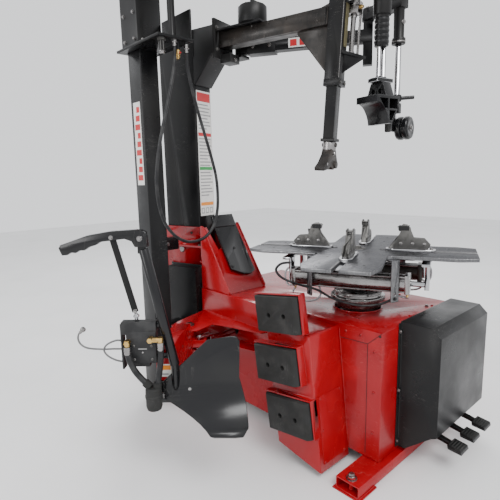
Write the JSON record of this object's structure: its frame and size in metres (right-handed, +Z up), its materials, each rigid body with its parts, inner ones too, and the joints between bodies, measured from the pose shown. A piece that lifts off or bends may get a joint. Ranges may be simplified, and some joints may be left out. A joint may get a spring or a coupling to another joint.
{
  "type": "tire changer",
  "caption": "Workshop tire changer: red cabinet with a jawed turntable, tilting column with mount head, bead breaker with wheel pads, and two helper arms.",
  "frame": {"origin": "middle of the outline on the floor, measured without the hoses", "axes": "+Z up, +Y towards the columns at the rear, -Y towards the operator and the pedals, -X towards the bead breaker"},
  "size_m": [1.4393, 1.4436, 1.9531],
  "materials": {
    "red_paint": "gloss enamel",
    "black_paint": "satin powder coat",
    "rubber": "moulded, matt",
    "bright_steel": "brushed",
    "dark_steel": "phosphated",
    "chrome": "polished",
    "iron": "cast, painted grey"
  },
  "bodies": {
    "chassis": {"cabinet_shell": "red_paint", "pads_box": "red_paint", "wheel_pad_1": "rubber", "wheel_pad_2": "rubber", "wheel_pad_3": "rubber", "front_foot": "red_paint", "rear_foot": "red_paint", "tower_base": "red_paint", "guard_pad": "rubber", "valve_cover": "black_paint", "front_cover": "black_paint", "gear_motor": "iron", "breaker_cylinder": "iron", "assist_column": "black_paint"},
    "pedal_1": {"pedal_1": "black_paint"},
    "pedal_2": {"pedal_2": "black_paint"},
    "pedal_3": {"pedal_3": "black_paint"},
    "turntable": {"turntable_plate": "bright_steel", "turntable_hub": "chrome"},
    "jaw_1": {"jaw_1": "dark_steel", "jaw_slide_1": "chrome"},
    "jaw_2": {"jaw_2": "dark_steel", "jaw_slide_2": "chrome", "clamp_cylinder_1": "bright_steel"},
    "jaw_3": {"jaw_3": "dark_steel", "jaw_slide_3": "chrome"},
    "jaw_4": {"jaw_4": "dark_steel", "jaw_slide_4": "chrome", "clamp_cylinder_2": "bright_steel"},
    "breaker_arm": {"breaker_arm": "red_paint"},
    "breaker_rod": {"breaker_rod": "chrome"},
    "blade": {"breaker_blade": "black_paint", "blade_handle": "black_paint", "valve_block": "iron", "breaker_hose_1": "rubber", "breaker_hose_2": "rubber", "air_line": "rubber"},
    "grip_lever": {"grip_lever": "black_paint"},
    "link_bar": {"link_bar": "black_paint"},
    "valve_spool": {"valve_spool": "chrome"},
    "column": {"column_tube": "black_paint", "beam_head": "black_paint", "lock_pot": "black_paint"},
    "tilt_cylinder": {"tilt_cylinder": "dark_steel"},
    "tilt_rod": {"tilt_rod": "chrome"},
    "arm": {"arm_tube": "black_paint", "slide_head": "black_paint", "lift_cylinder": "bright_steel"},
    "tool": {"tool_bar": "black_paint", "mount_head": "bright_steel"},
    "carriage": {"carriage": "black_paint", "assist_hose": "rubber"},
    "assist_arm_1": {"assist_arm_1": "black_paint"},
    "assist_arm_2": {"assist_arm_2": "black_paint"},
    "press": {"press_rods": "chrome", "press_pad": "rubber"},
    "roller_arm_1": {"roller_arm_1": "black_paint"},
    "roller_arm_2": {"roller_arm_2": "black_paint"},
    "roller_stem": {"roller_stem": "dark_steel"},
    "roller": {"roller": "rubber"}
  },
  "joints": [
    {"name": "turntable_spin", "type": "hinge", "parent": "chassis", "child": "turntable", "pos_m": [0.2885, -0.27, 0.7], "axis": [0, 0, 1], "continuous": true},
    {"name": "jaw_1_slide", "type": "slide", "parent": "turntable", "child": "jaw_1", "axis": [0.9135, 0.4067, 0], "range_m": [-0.015, 0.09]},
    {"name": "jaw_2_slide", "type": "slide", "parent": "turntable", "child": "jaw_2", "axis": [-0.4067, 0.9135, 0], "range_m": [-0.015, 0.09]},
    {"name": "jaw_3_slide", "type": "slide", "parent": "turntable", "child": "jaw_3", "axis": [-0.9135, -0.4067, 0], "range_m": [-0.015, 0.09]},
    {"name": "jaw_4_slide", "type": "slide", "parent": "turntable", "child": "jaw_4", "axis": [0.4067, -0.9135, 0], "range_m": [-0.015, 0.09]},
    {"name": "pedal_1_press", "type": "hinge", "parent": "chassis", "child": "pedal_1", "pos_m": [0.2785, -0.57, 0.118], "axis": [1, 0, 0], "range_deg": [0, 12], "stiffness_Nm_per_rad": 15, "springref_deg": -5.73},
    {"name": "pedal_2_press", "type": "hinge", "parent": "chassis", "child": "pedal_2", "pos_m": [0.3835, -0.57, 0.118], "axis": [1, 0, 0], "range_deg": [0, 12], "stiffness_Nm_per_rad": 15, "springref_deg": -5.73},
    {"name": "pedal_3_press", "type": "hinge", "parent": "chassis", "child": "pedal_3", "pos_m": [0.4885, -0.57, 0.118], "axis": [1, 0, 0], "range_deg": [0, 12], "stiffness_Nm_per_rad": 15, "springref_deg": -5.73},
    {"name": "breaker_arm_swing", "type": "hinge", "parent": "chassis", "child": "breaker_arm", "pos_m": [-0.1565, 0.285, 0.37], "axis": [0, 0, 1], "range_deg": [-15, 34]},
    {"name": "breaker_rod_slide", "type": "slide", "parent": "chassis", "child": "breaker_rod", "axis": [1, 0, 0], "range_m": [-0.0255, 0.0577]},
    {"name": "blade_turn", "type": "hinge", "parent": "breaker_arm", "child": "blade", "pos_m": [-0.45239, -0.01369, 0.34], "axis": [0, 0, 1], "range_deg": [-75, 33.5]},
    {"name": "grip_squeeze", "type": "hinge", "parent": "blade", "child": "grip_lever", "pos_m": [-0.52936, -0.02156, 0.863], "axis": [-0.7071, -0.7071, 0], "range_deg": [0, 8], "stiffness_Nm_per_rad": 40, "springref_deg": -6.88},
    {"name": "link_turn", "type": "hinge", "parent": "grip_lever", "child": "link_bar", "pos_m": [-0.59229, 0.04137, 0.871], "axis": [-0.7071, -0.7071, 0], "range_deg": [-8.1, 0.1]},
    {"name": "spool_slide", "type": "slide", "parent": "blade", "child": "valve_spool", "axis": [0, 0, -1], "range_m": [0, 0.0126]},
    {"name": "column_tilt", "type": "hinge", "parent": "chassis", "child": "column", "pos_m": [0.09021, 0.58666, 0.7], "axis": [-0.9681, -0.2504, 0], "range_deg": [0, 20]},
    {"name": "tilt_cylinder_turn", "type": "hinge", "parent": "chassis", "child": "tilt_cylinder", "pos_m": [0.22166, 0.07838, 0.45], "axis": [0.9681, 0.2504, 0], "range_deg": [0, 4.4]},
    {"name": "tilt_rod_slide", "type": "slide", "parent": "tilt_cylinder", "child": "tilt_rod", "axis": [0.2504, -0.9681, 0], "range_m": [0, 0.0818]},
    {"name": "arm_slide", "type": "slide", "parent": "column", "child": "arm", "axis": [0.2504, -0.9681, 0], "range_m": [-0.19, 0.015]},
    {"name": "tool_slide", "type": "slide", "parent": "arm", "child": "tool", "axis": [0.0175, -0.0675, 0.9976], "range_m": [-0.19, 0.16]},
    {"name": "roller_arm_1_swing", "type": "hinge", "parent": "column", "child": "roller_arm_1", "pos_m": [0.2585, 0.37, 1.63], "axis": [0, 0, 1], "range_deg": [-2, 80]},
    {"name": "roller_arm_2_swing", "type": "hinge", "parent": "roller_arm_1", "child": "roller_arm_2", "pos_m": [0.5655, -0.115, 1.716], "axis": [0, 0, 1], "range_deg": [-5, 75]},
    {"name": "roller_slide", "type": "slide", "parent": "roller_arm_2", "child": "roller_stem", "axis": [0, 0, 1], "range_m": [-0.28, 0.03]},
    {"name": "roller_spin", "type": "hinge", "parent": "roller_stem", "child": "roller", "pos_m": [0.59288, -0.26416, 1.233], "axis": [-0.1568, 0.9876, 0], "continuous": true},
    {"name": "carriage_slide", "type": "slide", "parent": "chassis", "child": "carriage", "axis": [0, 0, 1], "range_m": [-0.22, 0.03]},
    {"name": "assist_arm_1_swing", "type": "hinge", "parent": "carriage", "child": "assist_arm_1", "pos_m": [-0.1685, 0.29, 1.816], "axis": [0, 0, 1], "range_deg": [-60, 0]},
    {"name": "assist_arm_2_swing", "type": "hinge", "parent": "assist_arm_1", "child": "assist_arm_2", "pos_m": [-0.1615, -0.17, 1.745], "axis": [0, 0, 1], "range_deg": [-70, 0]},
    {"name": "press_slide", "type": "slide", "parent": "assist_arm_2", "child": "press", "axis": [0, 0, 1], "range_m": [-0.17, 0.025]}
  ],
  "couplings": [
    {"joint": "jaw_2_slide", "follows": "jaw_1_slide", "ratio": 1},
    {"joint": "jaw_3_slide", "follows": "jaw_1_slide", "ratio": 1},
    {"joint": "jaw_4_slide", "follows": "jaw_1_slide", "ratio": 1},
    {"joint": "breaker_rod_slide", "follows": "breaker_arm_swing", "m_per_rad": 0.097},
    {"joint": "blade_turn", "follows": "breaker_arm_swing", "ratio": -2.2},
    {"joint": "link_turn", "follows": "grip_squeeze", "ratio": -1},
    {"joint": "spool_slide", "follows": "grip_squeeze", "m_per_rad": 0.089},
    {"joint": "tilt_cylinder_turn", "follows": "column_tilt", "ratio": 0.2195},
    {"joint": "tilt_rod_slide", "follows": "column_tilt", "m_per_rad": 0.2338}
  ]
}
